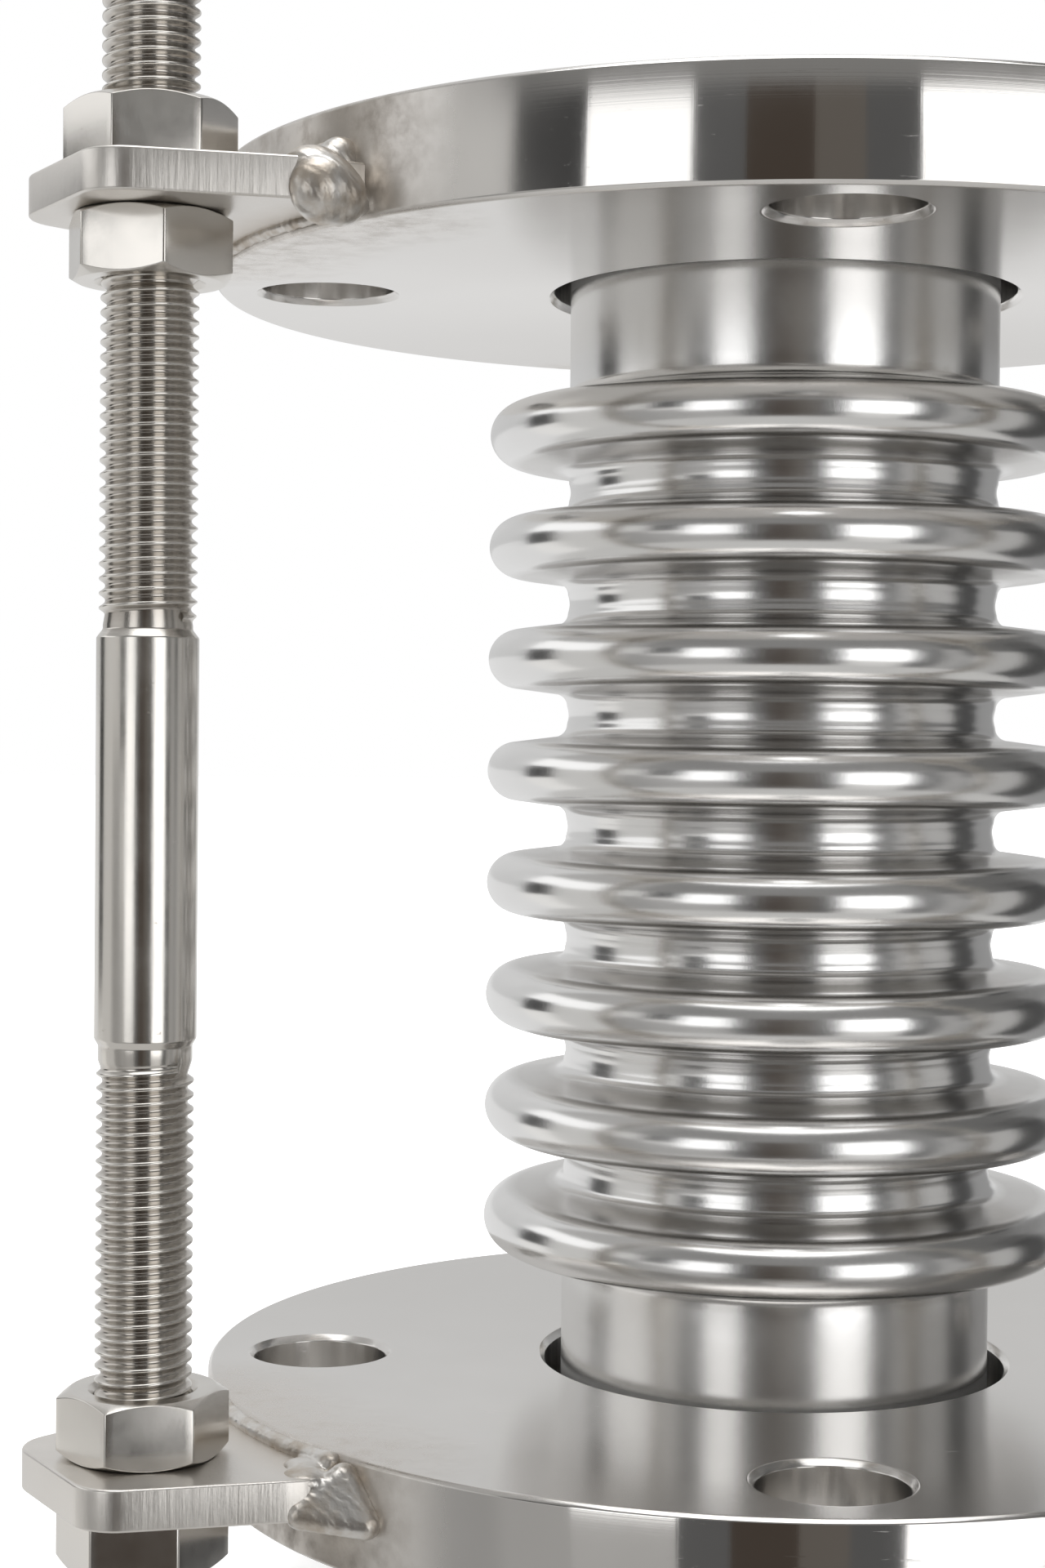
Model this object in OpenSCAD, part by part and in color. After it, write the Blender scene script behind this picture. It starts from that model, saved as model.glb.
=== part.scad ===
// Metal bellows expansion joint with loose flanges and three tie rods.
// Units are millimetres, +Z runs along the pipe.
// The origin is the centre of the lower sealing face.

/* [Flanges] */
// Outside diameter of both flanges
flange_od = 155; // [150:1:165]
// Thickness of each flange plate
flange_t = 14; // [13:0.5:18]
// Clear distance between the two inner flange faces
face_gap = 145; // [144:0.5:170]
// Bore of the flange plate around the bellows neck
flange_bore_d = 63; // [63:0.2:68]
// Bolt circle diameter
bolt_circle_d = 125; // [121:0.5:127]
// Bolt hole diameter
bolt_hole_d = 18; // [14:0.5:19]
// Number of bolt holes
bolt_count = 4; // [4:4:8]
// Edge break on the rim
rim_chamfer = 0.5; // [0.3:0.1:1]
// Edge break on bolt holes and bore at the inner face
hole_chamfer = 0.8; // [0.3:0.1:1]
// Edge break on bolt holes and bore at the outer face
outer_chamfer = 0.4; // [0.2:0.1:0.5]

/* [Lap rings] */
// Outside diameter of each sealing ring
lap_od = 98; // [86:1:100]
// Inside diameter of each sealing ring
lap_id = 56; // [52:0.5:57]
// Thickness of each sealing ring
lap_t = 3; // [2:0.25:5]

/* [Bellows] */
// Number of convolutions
convolutions = 8; // [4:1:8]
// Distance from one convolution to the next
lobe_pitch = 15.3; // [13.5:0.1:15.5]
// Outside diameter of the plain necks and of the roots
neck_od = 58.5; // [58:0.25:60]
// Outside diameter over the convolutions
crown_od = 80; // [76:0.5:84]
// Radius of each rounded crown
crown_r = 3.9; // [3.4:0.1:4.2]
// Wall thickness of the formed tube
wall_t = 0.6; // [0.4:0.05:1]
// Size of the weld fillet between neck and sealing ring
cuff_weld = 1.8; // [1:0.1:2.2]

/* [Lugs] */
// Radius of the circle on which the tie rods stand
rod_circle_r = 93.5; // [92:0.5:98]
// Thickness of each lug plate
lug_t = 5; // [4:0.5:6]
// Setback of the lug from the inner flange face
lug_setback = 1.5; // [1:0.25:3]
// Width of the lug at its outer end
lug_end_w = 24; // [20:1:28]
// Length of lug beyond the rod centre
lug_overhang = 12; // [9:0.5:15]
// Flare of each lug side towards the flange, in degrees
lug_flare = 17.5; // [5:0.5:20]
// Width of the lug where it meets the flange rim
lug_foot_w = 39; // [36:0.5:41]
// Radius of the two outer lug corners
lug_corner_r = 6; // [3:0.5:8]
// Clearance hole for the tie rod
lug_hole_d = 13; // [12.8:0.1:14]
// How far the weld bead stands out from the rim
bead_out = 2.6; // [1.5:0.1:3.2]
// How far the weld bead stands above and below the lug
bead_rise = 1.8; // [1:0.1:2.4]
// How far the lump at each end of the bead stands out from the rim
lump_out = 8.4; // [4:0.1:9]
// How far each lump stands above and below the lug
lump_rise = 2.6; // [2.5:0.1:3.2]
// Length of each lump along the rim, in degrees
lump_span = 3.4; // [2:0.1:5]
// How far each lump reaches past the side of the lug, in degrees
lump_over = 0.9; // [0.5:0.1:2]

/* [Tie rods] */
// Number of tie rods, each with two lugs and four nuts
rod_count = 3; // [3:1:3]
// Thread outside diameter
thread_d = 11.7; // [11.5:0.05:11.9]
// Diameter of the plain middle part
shank_d = 12.2; // [12:0.1:12.4]
// Length of the plain middle part
shank_len = 48; // [30:1:60]
// Full length of each tie rod
rod_len = 215; // [205:1:240]

/* [Nuts] */
// Width across the flats
nut_flats = 18; // [17.5:0.25:19]
// Height of each nut
nut_h = 8; // [6:0.5:9]
// Radial clearance between nut and thread
nut_clearance = 0.06; // [0.02:0.01:0.09]
// Turn of the outer nuts about their rods, in degrees
outer_nut_turn = 41; // [0:1:59]
// Turn of the inner nuts about their rods, in degrees
inner_nut_turn = 16; // [0:1:59]

/* [Hidden] */
$fn = 96;
flange_r = flange_od / 2;
z_low_out = lap_t;
z_low_in = z_low_out + flange_t;
z_up_in = z_low_in + face_gap;
z_up_out = z_up_in + flange_t;
z_top = z_up_out + lap_t;
z_mid = z_top / 2;
neck_r = neck_od / 2;
crown_c = crown_od / 2 - crown_r;
lobe_base = crown_r + 0.75;
low_lug_top = z_low_in - lug_setback;
up_lug_low = z_up_in + lug_setback;
rim_half_w = lug_foot_w / 2;
weld_span = asin(rim_half_w / flange_r);
nut_r = nut_flats / 2 / cos(30);
nut_bore_r = thread_d / 2 + nut_clearance;
seat_gap = 0.05;

// Points along an arc, from angle a0 to a1.
function arc(cx, cy, r, a0, a1, n) = [
    for (i = [0:n])
        let (a = a0 + (a1 - a0) * i / n)
        [cx + r * cos(a), cy + r * sin(a)]
];

// Direction of one lug: the first points along +Y.
function lug_angle(n) = 90 + 360 / rod_count * (n - 1);

// Moves its children onto the axis of one tie rod.
module at_rod(n) {
    rotate([0, 0, lug_angle(n)])
        translate([rod_circle_r, 0, 0])
            children();
}

// Hole cutter with an edge break of c0 at its foot and c1 at its top.
module chamfered_cutter(r, h, c0, c1) {
    rotate_extrude()
        polygon([
            [0, -1], [r + c0 + 1, -1], [r, c0], [r, h - c1],
            [r + c1 + 1, h + 1], [0, h + 1]
        ]);
}

// One flange plate standing on its outer face.
module flange_plate() {
    difference() {
        rotate_extrude()
            polygon([
                [0, 0], [flange_r - rim_chamfer, 0], [flange_r, rim_chamfer],
                [flange_r, flange_t - rim_chamfer],
                [flange_r - rim_chamfer, flange_t], [0, flange_t]
            ]);
        chamfered_cutter(flange_bore_d / 2, flange_t, outer_chamfer, hole_chamfer);
        for (i = [0:bolt_count - 1])
            rotate([0, 0, 360 / bolt_count * i])
                translate([bolt_circle_d / 2, 0, 0])
                    chamfered_cutter(bolt_hole_d / 2, flange_t, outer_chamfer, hole_chamfer);
    }
}

module lower_flange() {
    color("#c9c6c2")
        translate([0, 0, z_low_out])
            flange_plate();
}

module upper_flange() {
    color("#c9c6c2")
        translate([0, 0, z_up_out])
            mirror([0, 0, 1])
                flange_plate();
}

// Flat sealing ring with a small break on its outer edge.
module lap_plate() {
    rotate_extrude()
        polygon([
            [lap_id / 2, 0], [lap_od / 2 - 0.4, 0], [lap_od / 2, 0.4],
            [lap_od / 2, lap_t], [lap_id / 2, lap_t]
        ]);
}

module lower_lap_ring() {
    color("#bfbcb8")
        lap_plate();
}

module upper_lap_ring() {
    color("#bfbcb8")
        translate([0, 0, z_top])
            mirror([0, 0, 1])
                lap_plate();
}

// Half section of the formed tube, thinned by t on every side.
module bellows_section(t) {
    translate([0, z_low_out])
        square([neck_r - t, z_up_out - z_low_out]);
    for (i = [0:convolutions - 1]) {
        z = z_mid + (i - (convolutions - 1) / 2) * lobe_pitch;
        translate([crown_c, z])
            circle(r = crown_r - t);
        polygon([
            [neck_r - 2, z - lobe_base + t],
            [neck_r + 0.3, z - lobe_base + t],
            [crown_c + 0.5, z - crown_r + 0.15 + t],
            [crown_c + 0.5, z + crown_r - 0.15 - t],
            [neck_r + 0.3, z + lobe_base - t],
            [neck_r - 2, z + lobe_base - t]
        ]);
    }
}

module bellows() {
    color("#d4d2cf")
        rotate_extrude()
            difference() {
                bellows_section(0);
                bellows_section(wall_t);
                translate([0, z_low_out - 1])
                    square([neck_r - wall_t, z_up_out - z_low_out + 2]);
            }
}

// Fillet ring that joins a neck to its sealing ring.
module cuff_fillet() {
    rotate_extrude()
        polygon([
            [neck_r + 0.02, 0], [neck_r + cuff_weld, 0],
            [neck_r + cuff_weld * 0.45, cuff_weld * 0.45],
            [neck_r + 0.02, cuff_weld]
        ]);
}

module lower_cuff_weld() {
    color("#a39e98")
        translate([0, 0, z_low_out])
            cuff_fillet();
}

module upper_cuff_weld() {
    color("#a39e98")
        translate([0, 0, z_up_out])
            mirror([0, 0, 1])
                cuff_fillet();
}

// Ear with rounded outer corners that widens towards its foot, lying on its lower face.
// Its root follows a circle of radius root_r about the pipe axis.
module ear_plate(root_r) {
    end_x = rod_circle_r + lug_overhang;
    half = lug_end_w / 2;
    r = lug_corner_r;
    cy = half - r * (1 - sin(lug_flare)) / cos(lug_flare);
    root_x = flange_r - 6;
    bend_x = end_x - (rim_half_w - half) / tan(lug_flare);
    difference() {
        linear_extrude(height = lug_t)
            polygon(concat(
                [[root_x, -rim_half_w], [bend_x, -rim_half_w]],
                arc(end_x - r, -cy, r, lug_flare - 90, 0, 8),
                arc(end_x - r, cy, r, 0, 90 - lug_flare, 8),
                [[bend_x, rim_half_w], [root_x, rim_half_w]]
            ));
        translate([0, 0, -1])
            cylinder(r = root_r, h = lug_t + 2);
    }
}

module lug(n, z) {
    color("#b8b4ae")
        rotate([0, 0, lug_angle(n)])
            translate([0, 0, z])
                difference() {
                    ear_plate(flange_r + 0.01);
                    translate([rod_circle_r, 0, -1])
                        cylinder(d = lug_hole_d, h = lug_t + 2);
                }
}

// Half section of weld metal lying on the rim around the ear's edge.
module weld_section(out, rise) {
    x = flange_r + 0.01;
    polygon([
        [x, -rise], [x + out * 0.5, -rise * 0.85], [x + out, -rise * 0.1],
        [x + out, lug_t + rise * 0.1], [x + out * 0.5, lug_t + rise * 0.85],
        [x, lug_t + rise]
    ]);
}

// Fillet above and below the ear, with a thicker lump at each end.
module lug_weld(n, z) {
    color("#a8a39c")
        rotate([0, 0, lug_angle(n)])
            translate([0, 0, z])
                difference() {
                    union() {
                        rotate([0, 0, -weld_span])
                            rotate_extrude(angle = 2 * weld_span)
                                weld_section(bead_out, bead_rise);
                        for (start = [-weld_span - lump_over,
                                weld_span + lump_over - lump_span])
                            rotate([0, 0, start])
                                rotate_extrude(angle = lump_span)
                                    weld_section(lump_out, lump_rise);
                    }
                    ear_plate(flange_r - 1);
                }
}

// Threaded rod with a plain middle part, drawn at its thread diameter.
module tie_rod(n) {
    half = rod_len / 2;
    ends = shank_len / 2;
    tr = thread_d / 2;
    sr = shank_d / 2;
    color("#bcb6ac")
        at_rod(n)
            translate([0, 0, z_mid])
                rotate_extrude()
                    polygon([
                        [0, -half], [tr - 1, -half], [tr, -half + 1],
                        [tr, -ends - 1.6], [tr - 0.5, -ends - 1.2],
                        [tr - 0.5, -ends - 0.6], [sr, -ends],
                        [sr, ends], [tr - 0.5, ends + 0.6],
                        [tr - 0.5, ends + 1.2], [tr, ends + 1.6],
                        [tr, half - 1], [tr - 1, half], [0, half]
                    ]);
}

// Hexagon nut with both ends chamfered, standing on its lower face.
module hex_nut(turn) {
    inner_r = nut_flats / 2 - 0.2;
    outer_r = nut_r + 1;
    rise = (outer_r - inner_r) * tan(30);
    difference() {
        intersection() {
            rotate([0, 0, turn])
                cylinder(r = nut_r, h = nut_h, $fn = 6);
            rotate_extrude()
                polygon([
                    [0, 0], [inner_r, 0], [outer_r, rise],
                    [outer_r, nut_h - rise], [inner_r, nut_h], [0, nut_h]
                ]);
        }
        chamfered_cutter(nut_bore_r, nut_h, 0.5, 0.5);
    }
}

module nut(n, z, turn) {
    color("#bdb7ad")
        at_rod(n)
            translate([0, 0, z])
                hex_nut(turn + 40 * (n - 2));
}

lower_flange();
upper_flange();
lower_lap_ring();
upper_lap_ring();
bellows();
lower_cuff_weld();
upper_cuff_weld();
lug(1, low_lug_top - lug_t);  // lower_lug_1
lug(2, low_lug_top - lug_t);  // lower_lug_2
lug(3, low_lug_top - lug_t);  // lower_lug_3
lug(1, up_lug_low);  // upper_lug_1
lug(2, up_lug_low);  // upper_lug_2
lug(3, up_lug_low);  // upper_lug_3
lug_weld(1, low_lug_top - lug_t);  // lower_lug_weld_1
lug_weld(2, low_lug_top - lug_t);  // lower_lug_weld_2
lug_weld(3, low_lug_top - lug_t);  // lower_lug_weld_3
lug_weld(1, up_lug_low);  // upper_lug_weld_1
lug_weld(2, up_lug_low);  // upper_lug_weld_2
lug_weld(3, up_lug_low);  // upper_lug_weld_3
tie_rod(1);  // tie_rod_1
tie_rod(2);  // tie_rod_2
tie_rod(3);  // tie_rod_3
nut(1, low_lug_top - lug_t - nut_h - seat_gap, outer_nut_turn - 10);  // lower_outer_nut_1
nut(2, low_lug_top - lug_t - nut_h - seat_gap, outer_nut_turn - 10);  // lower_outer_nut_2
nut(3, low_lug_top - lug_t - nut_h - seat_gap, outer_nut_turn - 10);  // lower_outer_nut_3
nut(1, low_lug_top + seat_gap, outer_nut_turn + 1);  // lower_inner_nut_1
nut(2, low_lug_top + seat_gap, outer_nut_turn + 1);  // lower_inner_nut_2
nut(3, low_lug_top + seat_gap, outer_nut_turn + 1);  // lower_inner_nut_3
nut(1, up_lug_low - nut_h - seat_gap, inner_nut_turn);  // upper_inner_nut_1
nut(2, up_lug_low - nut_h - seat_gap, inner_nut_turn);  // upper_inner_nut_2
nut(3, up_lug_low - nut_h - seat_gap, inner_nut_turn);  // upper_inner_nut_3
nut(1, up_lug_low + lug_t + seat_gap, outer_nut_turn);  // upper_outer_nut_1
nut(2, up_lug_low + lug_t + seat_gap, outer_nut_turn);  // upper_outer_nut_2
nut(3, up_lug_low + lug_t + seat_gap, outer_nut_turn);  // upper_outer_nut_3
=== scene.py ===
"""Looks of a metal bellows expansion joint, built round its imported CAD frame."""
import math
import random

import bmesh
import bpy
import numpy as np
from mathutils import Matrix, Vector
from mathutils.geometry import delaunay_2d_cdt


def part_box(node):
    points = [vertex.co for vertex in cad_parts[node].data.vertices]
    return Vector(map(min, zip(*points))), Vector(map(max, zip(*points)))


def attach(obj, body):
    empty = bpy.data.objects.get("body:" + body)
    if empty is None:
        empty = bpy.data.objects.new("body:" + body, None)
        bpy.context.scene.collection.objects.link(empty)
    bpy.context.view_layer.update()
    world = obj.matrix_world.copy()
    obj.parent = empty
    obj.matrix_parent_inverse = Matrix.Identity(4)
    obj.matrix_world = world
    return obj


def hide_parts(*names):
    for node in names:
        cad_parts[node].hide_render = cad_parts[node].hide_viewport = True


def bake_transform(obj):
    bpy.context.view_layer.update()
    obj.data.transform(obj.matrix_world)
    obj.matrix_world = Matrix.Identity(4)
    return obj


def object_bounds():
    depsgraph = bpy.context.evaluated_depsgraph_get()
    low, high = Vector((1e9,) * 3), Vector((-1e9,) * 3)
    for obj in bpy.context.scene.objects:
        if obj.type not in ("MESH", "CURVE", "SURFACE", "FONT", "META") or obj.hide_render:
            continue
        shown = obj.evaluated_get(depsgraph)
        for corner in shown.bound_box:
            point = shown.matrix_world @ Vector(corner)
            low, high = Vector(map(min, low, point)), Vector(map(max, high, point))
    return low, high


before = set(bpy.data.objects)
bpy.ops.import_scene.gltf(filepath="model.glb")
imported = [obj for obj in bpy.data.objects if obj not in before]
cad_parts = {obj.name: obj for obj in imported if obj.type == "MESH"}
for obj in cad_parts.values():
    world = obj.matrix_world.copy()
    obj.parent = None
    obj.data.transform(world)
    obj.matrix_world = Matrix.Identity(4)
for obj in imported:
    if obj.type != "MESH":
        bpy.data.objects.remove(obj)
cad_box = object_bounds()
MM = 0.001

# Sizes in millimetres, as in the CAD
MIDDLE = 89.5
FLANGE_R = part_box("upper_flange")[1].x / MM
BORE_R = 31.5
BOLT_R = 9.0
BOLT_CIRCLE_R = 62.5
ROD_CIRCLE = 93.5

# Angles of the three tie rods about the pipe axis
ROD_STEP = 120
ROD_ANGLES = [math.radians(90 + ROD_STEP * k) for k in range(3)]


# ---------------------------------------------------------------- camera
def make_camera():
    heading = math.radians(89.014)
    pitch = math.radians(-1.184)
    roll = math.radians(0.538)
    forward = Vector((
        math.cos(pitch) * math.cos(heading),
        math.cos(pitch) * math.sin(heading),
        math.sin(pitch),
    ))
    right = Vector((math.sin(heading), -math.cos(heading), 0))
    up = right.cross(forward)
    rolled_right = right * math.cos(roll) + up * math.sin(roll)
    rolled_up = up * math.cos(roll) - right * math.sin(roll)
    data = bpy.data.cameras.new("camera")
    data.lens = 60.6
    data.clip_start = 0.01
    cam = bpy.data.objects.new("camera", data)
    axes = Matrix((rolled_right, rolled_up, -forward)).transposed()
    cam.matrix_world = Matrix.Translation((-0.04154, -0.3627, 0.10282)) @ axes.to_4x4()
    bpy.context.scene.collection.objects.link(cam)
    bpy.context.scene.camera = cam


make_camera()


# ---------------------------------------------------------------- materials
def node(tree, kind, **values):
    """A new node with its properties, and its sockets by name, set."""
    made = tree.nodes.new(kind)
    for key, value in values.items():
        if hasattr(made, key):
            setattr(made, key, value)
        else:
            made.inputs[key].default_value = value
    return made


def math_node(tree, operation, a, b=None, clamp=False):
    made = node(tree, "ShaderNodeMath", operation=operation, use_clamp=clamp)
    for k, value in enumerate((a, b)):
        if value is None:
            continue
        if isinstance(value, (int, float)):
            made.inputs[k].default_value = value
        else:
            tree.links.new(value, made.inputs[k])
    return made.outputs[0]


def map_range(tree, value, low, high, to_low, to_high):
    made = node(tree, "ShaderNodeMapRange")
    tree.links.new(value, made.inputs["Value"])
    for name, number in (
        ("From Min", low), ("From Max", high), ("To Min", to_low), ("To Max", to_high),
    ):
        made.inputs[name].default_value = number
    return made.outputs["Result"]


def noise(tree, vector, scale, detail=3.0, rough=0.55, dimensions="3D", w=None):
    made = node(tree, "ShaderNodeTexNoise", noise_dimensions=dimensions)
    made.inputs["Scale"].default_value = scale
    made.inputs["Detail"].default_value = detail
    made.inputs["Roughness"].default_value = rough
    if w is not None:
        tree.links.new(w, made.inputs["W"])
    elif vector is not None:
        tree.links.new(vector, made.inputs["Vector"])
    return made.outputs["Fac"]


def stretched(tree, vector, scale):
    made = node(tree, "ShaderNodeMapping")
    made.inputs["Scale"].default_value = scale
    tree.links.new(vector, made.inputs["Vector"])
    return made.outputs["Vector"]


def length(tree, a, b):
    """Length of the plane vector (a, b)."""
    squares = math_node(
        tree, "ADD", math_node(tree, "MULTIPLY", a, a), math_node(tree, "MULTIPLY", b, b)
    )
    return math_node(tree, "SQRT", squares)


def polar(tree, vector):
    """Radius, angle and height about the pipe axis."""
    split = node(tree, "ShaderNodeSeparateXYZ")
    tree.links.new(vector, split.inputs[0])
    x, y, z = split.outputs
    return length(tree, x, y), math_node(tree, "ARCTAN2", y, x), z


def mix_colour(tree, factor, a, b):
    made = node(tree, "ShaderNodeMix", data_type="RGBA")
    tree.links.new(factor, made.inputs["Factor"])
    for value, socket in ((a, made.inputs[6]), (b, made.inputs[7])):
        if isinstance(value, tuple):
            socket.default_value = (*value, 1)
        else:
            tree.links.new(value, socket)
    return made.outputs[2]


class Steel:
    """One stainless steel finish: colours, roughness and relief from procedural nodes."""

    def __init__(self, name):
        self.material = bpy.data.materials.new(name)
        self.material.use_nodes = True
        self.tree = self.material.node_tree
        self.shader = self.tree.nodes["Principled BSDF"]
        self.shader.inputs["Metallic"].default_value = 1.0
        self.coords = node(self.tree, "ShaderNodeTexCoord").outputs["Object"]
        self.heights = []

    def colour(self, source):
        self.tree.links.new(source, self.shader.inputs["Base Color"])

    def roughness(self, source):
        self.tree.links.new(source, self.shader.inputs["Roughness"])

    def relief(self, height, depth_mm):
        """Adds relief of this depth; height runs from 0 to 1."""
        self.heights.append(math_node(self.tree, "MULTIPLY", height, depth_mm * MM))

    def turned(self, amount):
        """Stretches reflections across the turning marks that run round the pipe."""
        tangent = node(self.tree, "ShaderNodeTangent", direction_type="RADIAL", axis="Z")
        self.tree.links.new(tangent.outputs[0], self.shader.inputs["Tangent"])
        self.shader.inputs["Anisotropic"].default_value = amount
        self.shader.inputs["Anisotropic Rotation"].default_value = 0.25

    def done(self):
        if self.heights:
            total = self.heights[0]
            for height in self.heights[1:]:
                total = math_node(self.tree, "ADD", total, height)
            bump = node(self.tree, "ShaderNodeBump", Strength=1.0, Distance=1.0)
            self.tree.links.new(total, bump.inputs["Height"])
            self.tree.links.new(bump.outputs[0], self.shader.inputs["Normal"])
        return self.material


def fold(tree, angle):
    """The angle from the middle of the nearest lug."""
    turn = math_node(tree, "ADD", angle, math.radians(90 + 720))
    return math_node(
        tree, "SUBTRACT",
        math_node(tree, "MODULO", turn, math.radians(ROD_STEP)), math.radians(ROD_STEP / 2),
    )


def lug_distance(tree, vector):
    """Distance from the nearest lug foot, measured in plan."""
    rim = 0.0775
    radius, angle, _ = polar(tree, vector)
    across = math_node(tree, "MULTIPLY", math_node(tree, "ABSOLUTE", fold(tree, angle)), rim)
    along = math_node(tree, "MAXIMUM", math_node(tree, "SUBTRACT", across, 0.018), 0.0)
    return length(tree, along, math_node(tree, "SUBTRACT", radius, rim))


def rod_distance(tree, vector):
    """Distance from the axis of the nearest tie rod."""
    radius, angle, _ = polar(tree, vector)
    folded = fold(tree, angle)
    across = math_node(tree, "MULTIPLY", radius, math_node(tree, "SINE", folded))
    out = math_node(
        tree, "SUBTRACT",
        math_node(tree, "MULTIPLY", radius, math_node(tree, "COSINE", folded)), ROD_CIRCLE * MM,
    )
    return length(tree, across, out)


def turned_plate():
    """Flange plates: turned round the pipe axis, polished rim, heat marks near the lugs, and a
    bore wall painted near-white as painted reflected light.
    """
    steel = Steel("turned_plate")
    tree = steel.tree
    radius, _, height = polar(tree, steel.coords)
    facing = node(tree, "ShaderNodeSeparateXYZ")
    tree.links.new(
        node(tree, "ShaderNodeTexCoord").outputs["Normal"], facing.inputs[0]
    )

    # Masks: flat faces, walls, walls of holes, wall of the bore, surface near a lug
    flat = math_node(
        tree, "GREATER_THAN", math_node(tree, "ABSOLUTE", facing.outputs[2]), 0.7
    )
    wall = math_node(tree, "SUBTRACT", 1.0, flat)
    within_rim = map_range(tree, radius, 0.0765, 0.0770, 1.0, 0.0)
    drilled = math_node(tree, "MULTIPLY", wall, within_rim)
    bore = map_range(tree, radius, 0.0317, 0.0323, 1.0, 0.0)
    from_lug = lug_distance(tree, steel.coords)
    near = map_range(tree, from_lug, 0.003, 0.018, 1.0, 0.0)
    tinted = map_range(tree, from_lug, 0.006, 0.030, 0.30, 0.0)
    stains = noise(tree, steel.coords, 240.0, 5.0, 0.7)
    spoiled = math_node(
        tree, "MULTIPLY", near, map_range(tree, stains, 0.42, 0.68, 0.0, 1.0)
    )
    scuff = noise(tree, stretched(tree, steel.coords, (30, 400, 900)), 3.0, 6.0, 0.7)
    scratched = map_range(tree, scuff, 0.66, 0.74, 0.0, 1.0)
    cloud = noise(tree, steel.coords, 38.0, 4.0, 0.6)

    base = mix_colour(tree, cloud, (0.71, 0.69, 0.665), (0.80, 0.785, 0.765))
    for mask, share, tint in (
        (near, 0.35, (0.62, 0.56, 0.49)), (spoiled, 0.30, (0.40, 0.35, 0.30)),
    ):
        base = mix_colour(tree, math_node(tree, "MULTIPLY", mask, share), base, tint)
    # Painted reflected light: the wall of the bore is painted near-white so the gap round the
    # neck looks lit.
    steel.colour(mix_colour(tree, bore, base, (0.93, 0.92, 0.90)))

    rough = map_range(tree, cloud, 0.25, 0.75, 0.06, 0.11)
    for mask, more in (
        (flat, 0.12), (scratched, 0.10), (drilled, 0.10), (wall, tinted),
        (bore, 0.04), (spoiled, 0.22),
    ):
        rough = math_node(tree, "ADD", rough, math_node(tree, "MULTIPLY", mask, more))
    steel.roughness(rough)

    # Tool marks follow the radius on flat faces and the height on walls
    marks = node(tree, "ShaderNodeMix", data_type="FLOAT")
    tree.links.new(flat, marks.inputs[0])
    tree.links.new(noise(tree, None, 3800.0, 2.0, 0.6, "1D", w=height), marks.inputs[2])
    tree.links.new(noise(tree, None, 2600.0, 2.0, 0.6, "1D", w=radius), marks.inputs[3])
    streaks = noise(tree, stretched(tree, steel.coords, (700, 700, 8)), 1.0, 4.0, 0.7)
    bands = noise(tree, stretched(tree, steel.coords, (320, 320, 3)), 1.0, 1.0, 0.5)
    for height_map, depth_mm in (
        (marks.outputs[0], 0.0016),
        (math_node(tree, "MULTIPLY", wall, streaks), 0.002),
        (math_node(tree, "MULTIPLY", drilled, bands), 0.08),
        (noise(tree, steel.coords, 900.0, 4.0), 0.0008),
        (scratched, 0.002),
        (spoiled, 0.003),
    ):
        steel.relief(height_map, depth_mm)
    steel.turned(0.7)
    return steel.done()


def turned_ring():
    """Sealing rings: fine concentric facing marks."""
    steel = Steel("turned_ring")
    tree = steel.tree
    radius, _, _ = polar(tree, steel.coords)
    cloud = noise(tree, steel.coords, 60.0, 4.0)
    steel.colour(mix_colour(tree, cloud, (0.66, 0.645, 0.62), (0.76, 0.75, 0.73)))
    steel.roughness(map_range(tree, cloud, 0.3, 0.7, 0.20, 0.30))
    steel.relief(noise(tree, None, 4200.0, 2.0, 0.6, "1D", w=radius), 0.003)
    steel.relief(noise(tree, steel.coords, 1100.0), 0.001)
    steel.turned(0.6)
    return steel.done()


def formed_tube():
    """Bellows: bright cold-formed sheet with fine orange peel and a few drawing lines."""
    steel = Steel("formed_tube")
    tree = steel.tree
    radius, angle, height = polar(tree, steel.coords)
    cloud = noise(tree, steel.coords, 70.0, 4.0)
    from_middle = math_node(
        tree, "ABSOLUTE", math_node(tree, "SUBTRACT", height, MIDDLE * MM)
    )

    # The walls between root and crown are painted darker than either: painted shade between the
    # folds
    inner = map_range(tree, radius, 0.0300, 0.0318, 0.0, 1.0)
    outer = map_range(tree, radius, 0.0355, 0.0375, 1.0, 0.0)
    side = math_node(tree, "MULTIPLY", math_node(tree, "MULTIPLY", inner, outer), 0.55)
    base = mix_colour(tree, cloud, (0.78, 0.775, 0.765), (0.88, 0.875, 0.87))
    steel.colour(mix_colour(tree, side, base, (0.42, 0.40, 0.375)))

    neck = map_range(tree, from_middle, 0.0605, 0.0620, 0.0, 0.03)
    in_flange = map_range(tree, from_middle, 0.0728, 0.0735, 0.0, 0.25)
    rough = math_node(tree, "ADD", map_range(tree, cloud, 0.3, 0.7, 0.18, 0.24), neck)
    steel.roughness(math_node(tree, "ADD", rough, in_flange))

    steel.relief(noise(tree, steel.coords, 1500.0, 3.0, 0.6), 0.0045)
    steel.relief(noise(tree, steel.coords, 5200.0, 2.0, 0.6), 0.0022)
    steel.relief(noise(tree, steel.coords, 160.0, 2.0), 0.010)
    steel.relief(noise(tree, None, 260.0, 3.0, 0.7, "1D", w=angle), 0.0012)
    return steel.done()


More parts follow.
